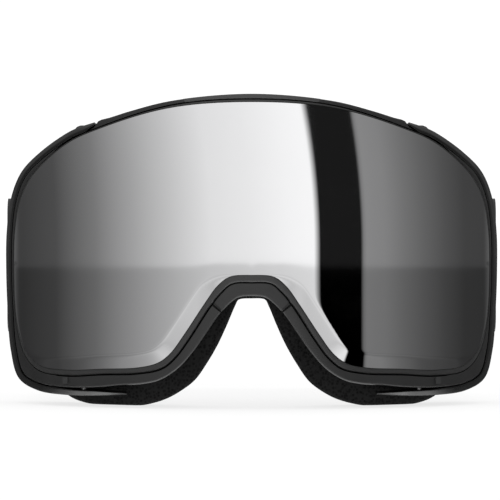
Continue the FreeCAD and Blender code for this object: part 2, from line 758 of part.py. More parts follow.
def latch_pockets():
    """Room for each latch and for its travel away from the nose."""
    made = []
    half = size("latch_half") + 0.3
    for side in (1, -1):
        left = -half - (size("latch_travel") if side < 0 else 0)
        space = doc.addObject("Part::Box", "latch_space")
        space.Length = 2 * half + size("latch_travel")
        space.Width = size("latch_deep") + 2.3
        space.Height = 12 - size("latch_low") + 0.3
        place = latch_placement(side)
        space.Placement = Placement(place.multVec(Vector(left, -2, size("latch_low") - 0.3)), place.Rotation)
        made.append(space)
    return made


def latch(side, word):
    """Sliding lens release in the chin, with a raised thumb tab at the front."""
    body = new_body("latch_%s" % word)
    plan = body_sketch(body, "XY_Plane", "Sizes.latch_low")
    bound_rectangle(plan, "-Sizes.latch_half", "0.2", "Sizes.latch_half", "Sizes.latch_deep")
    pad(body, plan, "Sizes.latch_tall")
    tab = body_sketch(body, "XY_Plane", "Sizes.latch_low")
    bound_rectangle(tab, "-Sizes.latch_tab", "-0.6", "Sizes.latch_tab", "0.6")
    pad(body, tab, "Sizes.latch_tall + 0.5")
    body.Placement = latch_placement(side)


# ---------------------------------------------------------------- build
lens_unit()
frame_unit()
face_foam()
hinge_pins()
outriggers()
for hand, hand_word in ((1, "right"), (-1, "left")):
    strap_anchor(hand, hand_word)
    strap_end(hand, hand_word)
    slider(hand, hand_word)
    latch(hand, hand_word)
strap_rear()
strap_grip()
doc.recompute()

for thing in doc.Objects:
    if "Invalid" in thing.State or "Error" in thing.State:
        raise RuntimeError("%s did not compute: %s" % (thing.Label, thing.State))
for thing in SUB_PARTS:
    if thing.Shape.isNull() or not thing.Shape.isValid():
        raise RuntimeError("%s has no valid shape" % thing.Label)
    thing.Shape.exportStep("parts/%s.step" % thing.Label)
    box = thing.Shape.BoundBox
    print("%-20s %2d solids %8.0f mm3  x %6.1f..%6.1f  y %6.1f..%6.1f  z %6.1f..%6.1f" % (
        thing.Label, len(thing.Shape.Solids), thing.Shape.Volume,
        box.XMin, box.XMax, box.YMin, box.YMax, box.ZMin, box.ZMax))
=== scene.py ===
import math

import bmesh
import bpy
import numpy as np
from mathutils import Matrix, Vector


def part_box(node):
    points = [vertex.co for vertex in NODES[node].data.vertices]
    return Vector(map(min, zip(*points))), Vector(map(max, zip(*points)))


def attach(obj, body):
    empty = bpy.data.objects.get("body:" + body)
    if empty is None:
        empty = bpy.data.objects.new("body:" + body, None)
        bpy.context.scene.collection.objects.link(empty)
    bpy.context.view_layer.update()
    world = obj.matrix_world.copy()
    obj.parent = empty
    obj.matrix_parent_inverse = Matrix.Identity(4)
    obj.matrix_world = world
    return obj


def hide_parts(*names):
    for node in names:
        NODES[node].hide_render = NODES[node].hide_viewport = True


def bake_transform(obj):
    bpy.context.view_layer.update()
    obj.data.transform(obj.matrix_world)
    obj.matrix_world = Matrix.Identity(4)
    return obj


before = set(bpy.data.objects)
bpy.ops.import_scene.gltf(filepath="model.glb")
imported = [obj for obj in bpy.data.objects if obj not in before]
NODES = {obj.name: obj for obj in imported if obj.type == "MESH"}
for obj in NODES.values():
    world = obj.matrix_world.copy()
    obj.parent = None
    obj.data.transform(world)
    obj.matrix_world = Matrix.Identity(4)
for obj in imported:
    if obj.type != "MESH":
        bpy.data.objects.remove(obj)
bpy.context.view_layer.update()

MM = 0.001
SIDES = ((1, "right"), (-1, "left"))
TINY = 1e-6


def box_mm(node):
    low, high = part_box(node)
    return np.array(low) / MM, np.array(high) / MM


# ---- plan curves, millimetres
LENS_R = 98.0  # plan radius of the lens's front
APEX_Y = box_mm("outer_lens")[0][1]  # the lens's front, on the middle plane
AXIS_Y = APEX_Y + LENS_R
LENS_THICK = 1.6
LIP_BACK = 0.8  # the frame's lip, behind the lens's front
SEAT_BACK = 6.8  # the carrier's seat, behind the lens's front
FACE = (90.0, 20.0)  # plan radius, distance behind the lens apex
FLANGE = 2.4  # thickness of the frame's flange towards the face
FOAM_FACES = [(91.0, 25.5), (92.0, 33.0), (92.6, 36.0)]
SIDE_MARGIN = 0.6  # a plan curve is used to this far short of its widest point


def lens_y(x, back):
    """Depth of the cylinder that lies back mm behind the lens's front."""
    radius = LENS_R - back
    x = np.minimum(np.abs(x), radius - SIDE_MARGIN)
    return AXIS_Y - np.sqrt(radius ** 2 - x ** 2)


def face_y(x, curve, lead=0.0):
    """Depth of a plan curve on the face's side, moved lead mm forward."""
    radius, apex = curve
    radius = radius + lead
    apex = apex - lead
    x = np.minimum(np.abs(x), radius - SIDE_MARGIN)
    return APEX_Y + apex + radius - np.sqrt(radius ** 2 - x ** 2)


# ---- front outlines, millimetres
# Right halves from the top centre to the nose, and the points that match between outlines:
# upper corner, widest point, lower outer corner, lower inner corner, side of the nose.
LENS = [
    (0, 107.0), (20.9, 106.1), (35, 103.8), (52.9, 98.5), (63.9, 94.2), (72.6, 88.2),
    (79.6, 81.2), (83.7, 73.5), (85.7, 63), (86.2, 50), (85.8, 37), (84.5, 27.5),
    (81.3, 19), (75.8, 14.1), (66, 12.9), (52.9, 13.6), (40, 14.3), (33, 16),
    (28.6, 19.3), (23.8, 25.8), (16.4, 37), (12.2, 42.8), (7.8, 46.2), (0, 46.8),
]
LENS_KEYS = [0, 5, 9, 13, 17, 20, 23]
CARRIER = [
    (0, 108.0), (21, 107.0), (35.2, 104.4), (53.1, 98.9), (64.1, 94.6), (72.9, 88.5),
    (79.9, 81.5), (84.1, 73.7), (86.1, 63), (86.6, 50), (86.2, 37), (85, 27),
    (82, 17.8), (76.4, 12.2), (66, 10.8), (52.8, 11.6), (39.8, 12.2), (31.5, 14),
    (26.7, 17.9), (21.8, 24.5), (14.6, 35.6), (10.6, 40.6), (6.9, 43.7), (0, 44.2),
]
FRAME = [
    (0, 109.9), (28, 107.7), (42, 104.5), (50, 102.2), (54.2, 101.05), (56.0, 98.7), (63.8, 95.2),
    (74.4, 88.6), (81.4, 82.3), (85.3, 73.8), (87.1, 61.8), (87.3, 48), (86.7, 34.2),
    (85.3, 19.6), (82.4, 11.0), (76.2, 7.7), (65.8, 6.6), (54, 7.0), (46, 7.9), (39, 8.4),
    (32.4, 9.9), (26, 13.9), (20.6, 19.8), (15.6, 26.9), (11.2, 33.2), (6.6, 37.8), (4.4, 39.1), (0, 39.5),
]
FRAME_KEYS = [0, 7, 11, 15, 20, 24, 27]
# The outrigger's outer line, from its front end at the brow round to its point under the lens.
OUTRIGGER = [
    (55.7, 100.75), (60.5, 99.4), (65, 97.7), (76, 90.8), (83.6, 83.8), (87.9, 74.5), (89.8, 62),
    (90, 48), (89.4, 34), (88, 18.9), (84.7, 9.0), (77.2, 5.0), (66, 3.8),
    (55, 3.9), (44, 4.6),
]
FACE_OPENING = [
    (0, 86), (26, 84), (47, 77), (59, 66), (62.5, 52), (60.5, 38.5), (52.5, 28),
    (40, 24), (31, 27.5), (24.5, 35.5), (17.8, 45), (10.8, 52), (0, 54.8),
]
FOAM = [
    (0, 105), (28, 103.5), (50, 98), (62, 92.5), (72, 84.5), (78.5, 74), (81, 60),
    (81, 45), (79.5, 30), (76, 17), (71, 8), (66.5, 3), (60, 0.6), (52, 0.05),
    (44, 0.05), (37.5, 0.8), (30.5, 2.8), (25, 5.8), (20.5, 9.4), (16.5, 15.2),
    (12.9, 21.5), (9.4, 29), (6.4, 35.9), (5.0, 38.2), (0, 38.7),
]
FOAM_KEYS = [0, 4, 7, 10, 16, 20, 24]
FOAM_OPENING = [
    (0, 83), (25, 81), (45, 74.5), (56, 64), (59, 52), (57, 40), (50, 31), (40, 27.5),
    (33, 30), (27, 37), (20, 47), (12, 54.5), (0, 57.5),
]
OPENING_KEYS = [0, 3, 4, 6, 8, 10, 12]
STATIONS = [56, 34, 34, 36, 26, 24]  # samples between matching points, each half


def rounded(points, closed, per_span=24):
    """A smooth curve through the points, and the sample number of each point."""
    points = np.array(points, float)
    count = len(points)
    spans = count if closed else count - 1
    samples = []
    for i in range(spans):
        if closed:
            p0, p1, p2, p3 = [points[(i + k) % count] for k in (-1, 0, 1, 2)]
        else:
            p1, p2 = points[i], points[i + 1]
            p0 = points[i - 1] if i else 2 * p1 - p2
            p3 = points[i + 2] if i + 2 < count else 2 * p2 - p1
        k1 = max(np.linalg.norm(p1 - p0), TINY) ** 0.5
        k2 = max(np.linalg.norm(p2 - p1), TINY) ** 0.5
        k3 = max(np.linalg.norm(p3 - p2), TINY) ** 0.5
        m1 = (p2 - p1 + k2 * ((p1 - p0) / k1 - (p2 - p0) / (k1 + k2)))
        m2 = (p2 - p1 + k2 * ((p3 - p2) / k3 - (p3 - p1) / (k2 + k3)))
        t = np.linspace(0, 1, per_span, endpoint=False)[:, None]
        samples.append((2 * t ** 3 - 3 * t ** 2 + 1) * p1 + (t ** 3 - 2 * t ** 2 + t) * m1
                       + (-2 * t ** 3 + 3 * t ** 2) * p2 + (t ** 3 - t ** 2) * m2)
    samples = np.concatenate(samples + ([] if closed else [points[-1:]]))
    return samples, [i * per_span for i in range(count)]


def spread(samples, count, end=False):
    """count points evenly along a polyline, with its end if asked."""
    steps = np.linalg.norm(np.diff(samples, axis=0), axis=1)
    along = np.concatenate([[0], np.cumsum(steps)])
    at = np.linspace(0, along[-1], count, endpoint=end)
    return np.stack([np.interp(at, along, samples[:, k]) for k in range(samples.shape[1])], 1)


def loop(half, keys):
    """The closed outline, sampled so that every outline's station i lies at a matching place."""
    mirrored = [(-x, z) for x, z in reversed(half[1:-1])]
    samples, marks = rounded(half + mirrored, closed=True)
    right = np.concatenate([spread(samples[marks[a]:marks[b] + 1], n)
                            for a, b, n in zip(keys, keys[1:], STATIONS)])
    nose = samples[marks[keys[-1]]][None]
    left = right[1:][::-1] * np.array([-1, 1])
    return np.concatenate([right, nose, left])


def normals(points):
    """Outward normals of a clockwise closed outline."""
    along = np.roll(points, -1, 0) - np.roll(points, 1, 0)
    along /= np.linalg.norm(along, axis=1)[:, None]
    return np.stack([-along[:, 1], along[:, 0]], 1)


LENS_LOOP = loop(LENS, LENS_KEYS)
CARRIER_LOOP = loop(CARRIER, LENS_KEYS)
FRAME_LOOP = loop(FRAME, FRAME_KEYS)
FACE_LOOP = loop(FACE_OPENING, OPENING_KEYS)
FOAM_LOOP = loop(FOAM, FOAM_KEYS)
OPENING_LOOP = loop(FOAM_OPENING, OPENING_KEYS)


# ---- meshes
def make_object(name, vertices, faces, material, body=None):
    """A smooth-shaded mesh, its vertices in millimetres, that rides on a body."""
    mesh = bpy.data.meshes.new(name)
    mesh.from_pydata((np.asarray(vertices) * MM).tolist(), [], faces)
    mesh.validate()
    mesh.polygons.foreach_set("use_smooth", [True] * len(mesh.polygons))
    mesh.materials.append(material)
    thing = bpy.data.objects.new(name, mesh)
    bpy.context.scene.collection.objects.link(thing)
    if body:
        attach(thing, body)
    return thing


def grid_faces(rows, columns, wrap=False, flip=False):
    """Quads of a grid numbered row * columns + column. wrap joins the last column to the first."""
    faces = []
    for i in range(rows - 1):
        for j in range(columns if wrap else columns - 1):
            a = i * columns + j
            b = i * columns + (j + 1) % columns
            c = b + columns
            d = a + columns
            faces.append((a, d, c, b) if flip else (a, b, c, d))
    return faces


def end_caps(rows, columns):
    """The two end faces of an open run of closed rows."""
    last = (rows - 1) * columns
    return [tuple(range(columns)), tuple(last + j for j in reversed(range(columns)))]


def mix(a, b, share):
    return a + (b - a) * share


def smoothstep(low, high, value):
    t = np.clip((value - low) / (high - low), 0, 1)
    return t * t * (3 - 2 * t)


# ---- materials
def new_material(name):
    material = bpy.data.materials.new(name)
    material.use_nodes = True
    tree = material.node_tree
    shader = tree.nodes["Principled BSDF"]
    return material, tree, shader


def add(tree, kind, **values):
    node = tree.nodes.new(kind)
    for key, value in values.items():
        if key in node.inputs:
            node.inputs[key].default_value = value
        else:
            setattr(node, key, value)
    return node


def object_coords(tree, scale=(1, 1, 1)):
    coords = add(tree, "ShaderNodeTexCoord")
    mapping = add(tree, "ShaderNodeMapping")
    mapping.inputs["Scale"].default_value = scale
    tree.links.new(coords.outputs["Object"], mapping.inputs["Vector"])
    return mapping.outputs["Vector"]


def noise(tree, vector, scale, detail=3.0, rough=0.5):
    node = add(tree, "ShaderNodeTexNoise", Scale=scale, Detail=detail, Roughness=rough)
    tree.links.new(vector, node.inputs["Vector"])
    return node.outputs["Fac"]


def remap(tree, value, low, high, out_low, out_high):
    node = add(tree, "ShaderNodeMapRange")
    node.inputs["From Min"].default_value = low
    node.inputs["From Max"].default_value = high
    node.inputs["To Min"].default_value = out_low
    node.inputs["To Max"].default_value = out_high
    tree.links.new(value, node.inputs["Value"])
    return node.outputs["Result"]


def two_tone(tree, value, dark, light):
    node = add(tree, "ShaderNodeMix", data_type="RGBA")
    node.inputs["A"].default_value = (*dark, 1)
    node.inputs["B"].default_value = (*light, 1)
    tree.links.new(value, node.inputs["Factor"])
    return node.outputs["Result"]


def bump(tree, shader, height, strength, distance):
    node = add(tree, "ShaderNodeBump", Strength=strength, Distance=distance)
    tree.links.new(height, node.inputs["Height"])
    tree.links.new(node.outputs["Normal"], shader.inputs["Normal"])


def calc(tree, operation, *terms):
    """A sum on numbers and the outputs of other nodes."""
    node = add(tree, "ShaderNodeMath", operation=operation)
    for socket, term in zip(node.inputs, terms):
        if isinstance(term, (int, float)):
            socket.default_value = term
        else:
            tree.links.new(term, socket)
    return node.outputs[0]


NOISE_SPAN = (0.3, 0.7)  # where nearly all of a noise's values lie


def moulded(name, tone, rough, grain=0.00002, variation=0.25, specular=0.5):
    """Moulded plastic or rubber: fine spark-eroded grain, slow colour drift, uneven gloss."""
    material, tree, shader = new_material(name)
    place = object_coords(tree)
    fine = noise(tree, place, scale=5200, detail=3, rough=0.6)
    slow = noise(tree, place, scale=38, detail=3, rough=0.55)
    dark = [tone * (1 - variation)] * 3
    light = [tone * (1 + variation)] * 3
    tree.links.new(two_tone(tree, slow, dark, light), shader.inputs["Base Color"])
    uneven = noise(tree, place, scale=160, detail=4)
    gloss = remap(tree, uneven, *NOISE_SPAN, rough - 0.05, rough + 0.07)
    tree.links.new(gloss, shader.inputs["Roughness"])
    shader.inputs["Specular IOR Level"].default_value = specular
    bump(tree, shader, fine, strength=0.35, distance=grain)
    return material


def foam_material(name, tone, pore=900.0, depth=0.0002):
    """Open-cell foam: round pores of mixed size, with painted shade darkening their hollows."""
    material, tree, shader = new_material(name)
    place = object_coords(tree)
    cells = add(tree, "ShaderNodeTexVoronoi", Scale=pore)
    tree.links.new(place, cells.inputs["Vector"])
    slow = noise(tree, place, scale=60, detail=3)
    pores = remap(tree, cells.outputs["Distance"], 0.1, 0.6, 0.0, 1.0)
    # Painted shade: the pore hollows are coloured darker than the walls, and a slow random drift varies the
    # tone.
    shade = calc(tree, "MULTIPLY", pores, remap(tree, slow, *NOISE_SPAN, 0.7, 1.2))
    shaded_pore = [tone * 0.35] * 3
    wall = [tone * 1.3] * 3
    tree.links.new(two_tone(tree, shade, shaded_pore, wall), shader.inputs["Base Color"])
    shader.inputs["Roughness"].default_value = 0.95
    shader.inputs["Specular IOR Level"].default_value = 0.06
    bump(tree, shader, pores, strength=0.6, distance=depth)
    return material


def fleece_material():
    """Brushed fleece: short fibres lying at random, with a soft sheen."""
    material, tree, shader = new_material("fleece")
    place = object_coords(tree)
    fibres = noise(tree, place, scale=2600, detail=6, rough=0.75)
    tufts = noise(tree, place, scale=420, detail=4, rough=0.6)
    tree.links.new(two_tone(tree, tufts, [0.012] * 3, [0.034] * 3), shader.inputs["Base Color"])
    shader.inputs["Roughness"].default_value = 1.0
    shader.inputs["Sheen Weight"].default_value = 0.25
    shader.inputs["Sheen Roughness"].default_value = 0.5
    bump(tree, shader, calc(tree, "ADD", fibres, tufts), strength=0.7, distance=0.0004)
    return material


def steel_material():
    """Brushed steel: grain drawn out along the height."""
    material, tree, shader = new_material("steel")
    place = object_coords(tree, (1, 1, 6))
    grain = noise(tree, place, scale=1500, detail=4, rough=0.7)
    shader.inputs["Metallic"].default_value = 1.0
    tree.links.new(two_tone(tree, grain, [0.42] * 3, [0.62] * 3), shader.inputs["Base Color"])
    tree.links.new(remap(tree, grain, 0.2, 0.8, 0.25, 0.42), shader.inputs["Roughness"])
    bump(tree, shader, grain, strength=0.2, distance=0.00002)
    return material


def mirror_material():
    """Silver mirror coating that lets a little light through."""
    material, tree, shader = new_material("mirror_lens")
    place = object_coords(tree)
    smear = noise(tree, place, scale=22, detail=4, rough=0.6)
    shader.inputs["Metallic"].default_value = 1.0
    silver = two_tone(tree, smear, [0.79, 0.79, 0.80], [0.83, 0.83, 0.835])
    tree.links.new(silver, shader.inputs["Base Color"])
    tree.links.new(remap(tree, smear, *NOISE_SPAN, 0.015, 0.03), shader.inputs["Roughness"])
    shader.inputs["Alpha"].default_value = 0.975
    return material


MATERIALS = {
    "frame": moulded("frame_tpu", tone=0.016, rough=0.42),
    "hard": moulded("frame_hard", tone=0.045, rough=0.34),
    "carrier": moulded("carrier_hard", tone=0.028, rough=0.36),
    "arm": moulded("outrigger_black", tone=0.007, rough=0.30, specular=0.3),
    "hardware": moulded("buckle_black", tone=0.03, rough=0.35),
    "vent_foam": foam_material("vent_foam", tone=0.05, pore=700.0, depth=0.0004),
    "foam": foam_material("face_foam", tone=0.013),
    "fleece": fleece_material(),
    "steel": steel_material(),
    "mirror": mirror_material(),
}


# ---- lens
# Width of the rolled lower edge, by distance from the middle plane.
ROLL_WIDTH = [(0, 0.0), (8, 0.4), (14, 3.2), (18, 4.8), (45, 4.9), (60, 4.8), (66, 4.6), (72, 3.9), (77, 2.4),
              (82, 0.3), (90, 0)]
ROLL_SLOPE = 0.27  # how far back the roll leans for its width
ROLL_CREASE = 0.35  # softness of the line where it starts
ROLL_LEAST = 0.05  # where it is narrower than this, there is no roll
LENS_COLUMNS = 221
LENS_ROWS = 100
COLUMN_CROWDING = 0.93  # brings the columns closer together at the sides
ROW_CROWDING = 1.25  # brings the rows closer together at the rolled edge


def edge_distance(flat, outline):
    """Distance of each point from an open line."""
    start = outline[:-1]
    step = np.diff(outline, axis=0)
    length = np.maximum((step ** 2).sum(1), 1e-9)
    best = np.full(len(flat), np.inf)
    batch = 2000
    for low in range(0, len(flat), batch):
        part = flat[low:low + batch, None, :] - start[None]
        t = np.clip((part * step[None]).sum(2) / length, 0, 1)
        gap = np.linalg.norm(part - step[None] * t[..., None], axis=2)
        best[low:low + batch] = gap.min(1)
    return best


def roll_depth(flat, lower):
    """How far the lens's rolled lower edge lies behind the plain cylinder."""
    xs, widths = zip(*ROLL_WIDTH)
    width = np.interp(np.abs(flat[:, 0]), xs, widths)
    inside = width - edge_distance(flat, lower)
    return ROLL_SLOPE * (np.sqrt(inside ** 2 + ROLL_CREASE ** 2) + inside) / 2 * (width > ROLL_LEAST)


def lens_lower_edge():
    """The lens's outline below its widest points, from side to side."""
    samples, _ = rounded(LENS[LENS_KEYS[2]:], closed=False)
    right = spread(samples, 160, end=True)
    return np.concatenate([right, right[::-1] * np.array([-1, 1])])


def make_lens():
    wide = LENS_LOOP[:, 0].max()
    t = np.linspace(-1, 1, LENS_COLUMNS)
    x = wide * np.sin(t * math.pi / 2 * COLUMN_CROWDING) / math.sin(math.pi / 2 * COLUMN_CROWDING)
    right = LENS_LOOP[:sum(STATIONS) + 1]
    widest = right[:, 0].argmax()
    top = np.interp(np.abs(x), right[:widest + 1, 0], right[:widest + 1, 1])
    low = np.interp(np.abs(x), right[widest:][::-1, 0], right[widest:][::-1, 1])
    v = np.linspace(0, 1, LENS_ROWS) ** ROW_CROWDING
    heights = low[:, None] + (top - low)[:, None] * v
    flat = np.stack([np.repeat(x[:, None], LENS_ROWS, 1), heights], 2).reshape(-1, 2)
    back = roll_depth(flat, lens_lower_edge())
    front = np.stack([flat[:, 0], lens_y(flat[:, 0], 0) + back, flat[:, 1]], 1)
    rear = np.stack([flat[:, 0], lens_y(flat[:, 0], LENS_THICK) + back, flat[:, 1]], 1)
    count = len(flat)
    faces = grid_faces(LENS_COLUMNS, LENS_ROWS, flip=True)
    faces += [tuple(count + k for k in face[::-1]) for face in faces]
    last = (LENS_COLUMNS - 1) * LENS_ROWS
    rim = [i * LENS_ROWS for i in range(LENS_COLUMNS)] + [last + j for j in range(1, LENS_ROWS)]
    rim += [i * LENS_ROWS + LENS_ROWS - 1 for i in range(LENS_COLUMNS - 2, -1, -1)]
    rim += list(range(LENS_ROWS - 2, 0, -1))
    for a, b in zip(rim, rim[1:] + rim[:1]):
        faces.append((a, b, b + count, a + count))
    lens = make_object("outer_lens_shell", np.concatenate([front, rear]), faces, MATERIALS["mirror"],
                       body="lens")
    lens.data.materials.append(MATERIALS["carrier"])
    for face in lens.data.polygons[-len(rim):]:
        face.material_index = 1
    lens.data.set_sharp_from_angle(angle=math.radians(60))
    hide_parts("outer_lens")


make_lens()


# ---- lofted pieces
CORNER_STEPS = 4  # facets of a rounded corner
MERGE = 1e-7  # metres: vertices closer than this are one


def at_depth(flat, y):
    """Points in space from front coordinates and depths."""
    return np.stack([flat[:, 0], y, flat[:, 1]], 1)


def fillets(section, radii, steps=CORNER_STEPS):
    """A closed cross section with its corners rounded. Each corner is an array with one point per row."""
    rounded_section = []
    for j, (corner, radius) in enumerate(zip(section, radii)):
        if not radius:
            rounded_section.append(corner)
            continue
        arms = []
        for neighbour in (section[j - 1], section[(j + 1) % len(section)]):
            way = neighbour - corner
            length = np.maximum(np.linalg.norm(way, axis=1, keepdims=True), TINY)
            arms.append(corner + way / length * np.minimum(radius, 0.45 * length))
        for t in np.linspace(0, 1, steps + 1):
            rounded_section.append((1 - t) ** 2 * arms[0] + 2 * t * (1 - t) * corner + t * t * arms[1])
    return rounded_section


def finish_mesh(thing, angle=38):
    """Outward faces, smooth shading, sharp only where the surface really turns."""
    mesh = thing.data
    work = bmesh.new()
    work.from_mesh(mesh)
    bmesh.ops.remove_doubles(work, verts=work.verts, dist=MERGE)
    bmesh.ops.recalc_face_normals(work, faces=work.faces)
    work.to_mesh(mesh)
    work.free()
    mesh.polygons.foreach_set("use_smooth", [True] * len(mesh.polygons))
    mesh.set_sharp_from_angle(angle=math.radians(angle))
    return thing


def loft(name, section, material, body, closed=True, windows=(), angle=38):
    """Skin over rows of points. windows are (first row, last row, outer column, inner column) openings."""
    columns = len(section)
    rows = len(section[0])
    vertices = np.stack(section, 1).reshape(-1, 3)
    skipped = set()
    extra = []

    def vertex(i, j):
        return (i % rows) * columns + j % columns

    for first, last, outer, inner in windows:
        for i in range(first, last):
            skipped.add((i % rows, outer))
            skipped.add((i % rows, inner))
            extra.append((vertex(i, outer), vertex(i + 1, outer),
                          vertex(i + 1, inner + 1), vertex(i, inner + 1)))
            extra.append((vertex(i, outer + 1), vertex(i, inner),
                          vertex(i + 1, inner), vertex(i + 1, outer + 1)))
        for i in (first, last):
            extra.append((vertex(i, outer), vertex(i, inner + 1), vertex(i, inner), vertex(i, outer + 1)))
    faces = []
    for i in range(rows if closed else rows - 1):
        for j in range(columns):
            if (i, j) not in skipped:
                faces.append((vertex(i, j), vertex(i + 1, j), vertex(i + 1, j + 1), vertex(i, j + 1)))
    if not closed:
        faces += end_caps(rows, columns)
    thing = make_object(name, vertices, faces + extra, material, body=body)
    return finish_mesh(thing, angle)


# ---- lens carrier
LENS_OUT = normals(LENS_LOOP)
CARRIER_OUT = normals(CARRIER_LOOP)
FRAME_OUT = normals(FRAME_LOOP)
CARRIER_FRONT = 0.4  # depths behind the lens's front: the rim's front, its back
CARRIER_BACK = 6.35
RECESS = 1.7  # and the step the lens sits on
LENS_CLEAR = 0.1  # gap round the lens
RIM_REACH = 3.0  # how far the rim reaches in behind the lens
ROLL_FADE = (64, 50)  # heights between which the rim takes up the lens's roll


def make_carrier():
    """The rim round the lens, which follows the rolled lower edge."""
    edge = LENS_LOOP + LENS_CLEAR * LENS_OUT
    hole = LENS_LOOP - RIM_REACH * LENS_OUT
    roll = roll_depth(LENS_LOOP, lens_lower_edge()) * smoothstep(*ROLL_FADE, LENS_LOOP[:, 1])
    section = [at_depth(edge, lens_y(edge[:, 0], CARRIER_FRONT) + roll),
               at_depth(CARRIER_LOOP, lens_y(CARRIER_LOOP[:, 0], CARRIER_FRONT) + roll),
               at_depth(CARRIER_LOOP, lens_y(CARRIER_LOOP[:, 0], CARRIER_BACK)),
               at_depth(hole, lens_y(hole[:, 0], CARRIER_BACK)),
               at_depth(hole, lens_y(hole[:, 0], RECESS) + roll),
               at_depth(edge, lens_y(edge[:, 0], RECESS) + roll)]
    section = fillets(section, radii=[0.15, 0.9, 0.3, 0.3, 0, 0])
    carrier = loft("lens_rim", section, MATERIALS["carrier"], "lens")
    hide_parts("lens_carrier")


make_carrier()


# ---- frame
SIDE_FROM = 70.0  # beyond this distance from the middle, the lip sits closer
SIDE_GAP = 0.15
LIP_GAP = 0.4
SEAT_GAP = np.where(np.abs(CARRIER_LOOP[:, 0]) > SIDE_FROM, SIDE_GAP, LIP_GAP)
SEAT_LOOP = CARRIER_LOOP + SEAT_GAP[:, None] * CARRIER_OUT
WALL_IN = 4.5  # how far the frame's inner wall lies inside the lens's edge
WALL_LOOP = LENS_LOOP - WALL_IN * LENS_OUT
WALL_OUT = normals(WALL_LOOP)
VENT_HALF = 7.5  # half width of a vent slot
VENT_PITCH = 20.0
VENT_FRONT = 9.5  # its front edge, behind the lens's front
VENT_LONG = 6.0
VENT_EDGE = 0.05  # least material before and behind a slot
TOP_HEIGHTS = (85, 120)  # heights that take in only the top edge
FOOT_HEIGHTS = (5, 30)  # and only the bottom edge
NOSE_HEIGHTS = (0, 60)  # and only the lower half, with the nose


def stations(loop_points, low_x, high_x, low_z, high_z):
    """Rows of a loop inside a front rectangle, in order, allowing for the loop's start at the top."""
    inside = ((loop_points[:, 0] >= low_x) & (loop_points[:, 0] <= high_x)
              & (loop_points[:, 1] >= low_z) & (loop_points[:, 1] <= high_z))
    rows = np.where(inside)[0]
    count = len(loop_points)
    if len(rows) and rows[0] == 0 and rows[-1] == count - 1:
        gap = np.where(np.diff(rows) > 1)[0]
        if len(gap):
            rows = np.concatenate([rows[gap[0] + 1:] - count, rows[:gap[0] + 1]])
    return rows


BRIDGE_HALF = 10.3  # half width of the nose bridge insert
BRIDGE_SINK = 1.4  # how far the frame drops away under the insert
BRIDGE_ROWS = stations(FRAME_LOOP, -BRIDGE_HALF, BRIDGE_HALF, *NOSE_HEIGHTS)


def under_bridge():
    """The frame drops under the insert and one row past it, which leaves a seam at each end."""
    sink = np.zeros(len(FRAME_LOOP))
    sink[BRIDGE_ROWS[0] - 1:BRIDGE_ROWS[-1] + 2] = BRIDGE_SINK
    return sink


def make_frame():
    """The flexible shell: flange, outer side, lip, seat, wall and flange again, with slots along the brow."""
    outer, seat, wall, face = FRAME_LOOP, SEAT_LOOP, WALL_LOOP, FACE_LOOP
    corners = [(outer, lambda x: face_y(x, FACE)), (outer, lambda x: lens_y(x, LIP_BACK)),
               (seat, lambda x: lens_y(x, LIP_BACK)), (seat, lambda x: lens_y(x, SEAT_BACK)),
               (wall, lambda x: lens_y(x, SEAT_BACK)), (wall, lambda x: face_y(x, FACE, FLANGE)),
               (face, lambda x: face_y(x, FACE, FLANGE)), (face, lambda x: face_y(x, FACE))]
    section = [at_depth(points, y(points[:, 0])) for points, y in corners]
    for column in section[1:3]:
        column[:, 1] += under_bridge()
    section = fillets(section, radii=[0.6, 1.0, 0.15, 0.2, 0.6, 0.8, 0.8, 0.6])
    corner_columns = CORNER_STEPS + 1
    lip_start = corner_columns
    frame_rear = lip_start - 1
    wall_back = 5 * corner_columns
    wall_front = wall_back - 1

    def slot_edge(points, back, front_column, rear_column):
        """A column along a slot's edge, between the columns before and behind it."""
        y = np.minimum(lens_y(points[:, 0], back), section[rear_column][:, 1] - VENT_EDGE)
        return at_depth(points, np.maximum(y, section[front_column][:, 1] + VENT_EDGE))

    near = VENT_FRONT
    far = VENT_FRONT + VENT_LONG
    outer_cuts = [slot_edge(outer, back, lip_start, frame_rear) for back in (far, near)]
    inner_cuts = [slot_edge(wall, back, wall_front, wall_back) for back in (near, far)]
    section = (section[:lip_start] + outer_cuts + section[lip_start:wall_back] + inner_cuts
               + section[wall_back:])
    outer_column = lip_start
    inner_column = wall_back + len(outer_cuts)
    openings = []
    for number in (-2, -1, 0, 1, 2):
        middle = number * VENT_PITCH
        rows = stations(outer, middle - VENT_HALF, middle + VENT_HALF, *TOP_HEIGHTS)
        openings.append((rows[0], rows[-1], outer_column, inner_column))
    shell = loft("goggle_frame", section, MATERIALS["frame"], "frame", windows=openings)
    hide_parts("main_frame")


make_frame()


INSERT_PROUD = 0.06  # how far an insert stands out from the frame
INSERT_OVERLAP = 0.12  # and reaches over the seat's edge
INSERT_LEAD = 0.1  # and stands in front of the lip
BRIDGE_BACK = 5.2  # the nose bridge's rear edge, behind the lens's front
CATCH_BACK = 6.6  # and the brow catch's
CATCH_HALF = 24  # half width of the brow catch


def make_insert(name, node, rows, back, material):
    """A separate piece clipped over the frame's lip."""
    outer = (FRAME_LOOP + INSERT_PROUD * FRAME_OUT)[rows]
    seat = (SEAT_LOOP - INSERT_OVERLAP * CARRIER_OUT)[rows]
    front = LIP_BACK - INSERT_LEAD
    section = [at_depth(outer, lens_y(outer[:, 0], back)), at_depth(outer, lens_y(outer[:, 0], front)),
               at_depth(seat, lens_y(seat[:, 0], front)), at_depth(seat, lens_y(seat[:, 0], back))]
    section = fillets(section, radii=[0.2, 0.9, 0.35, 0.1])
    insert = loft(name, section, material, "frame", closed=False, angle=70)
    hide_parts(node)


